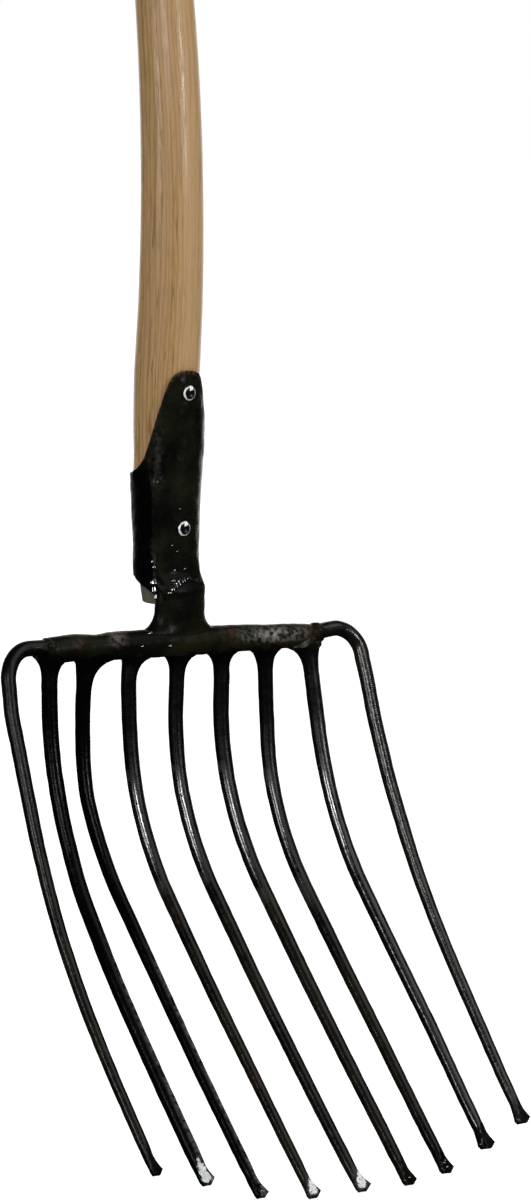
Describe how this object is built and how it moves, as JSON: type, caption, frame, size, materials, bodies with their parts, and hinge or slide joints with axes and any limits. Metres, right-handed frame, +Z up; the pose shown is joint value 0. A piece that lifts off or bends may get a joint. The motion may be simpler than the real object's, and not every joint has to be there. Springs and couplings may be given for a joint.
{
  "type": "stone fork",
  "caption": "Long handled stone fork: curved round tines with small spade tips under a crossbar, and an open forged socket riveted to a bent wooden handle.",
  "frame": {"origin": "middle of the crossbar, on its axis, where two rack pegs hold the fork up on both sides of the neck", "axes": "+X along the crossbar, with tine_1 at -X; the hollow side of the tines and the rivet heads face -Y; +Z up along the socket to the handle, so the tines point down"},
  "size_m": [0.2914, 0.461, 1.404],
  "materials": {
    "lacquered_steel": "glossy black lacquer over rough forged steel",
    "ash_wood": "plain planed ash",
    "zinc_steel": "bright zinc plated"
  },
  "bodies": {
    "root": {"crossbar": "lacquered_steel", "tine_1": "lacquered_steel", "tine_2": "lacquered_steel", "tine_3": "lacquered_steel", "tine_4": "lacquered_steel", "tine_5": "lacquered_steel", "tine_6": "lacquered_steel", "tine_7": "lacquered_steel", "tine_8": "lacquered_steel", "tine_9": "lacquered_steel", "outer_weld_left": "lacquered_steel", "outer_weld_right": "lacquered_steel", "socket": "lacquered_steel", "neck": "lacquered_steel", "neck_weld": "lacquered_steel", "handle": "ash_wood", "rivet_upper": "zinc_steel", "rivet_lower": "zinc_steel", "burr_upper": "zinc_steel", "burr_lower": "zinc_steel"}
  },
  "joints": []
}
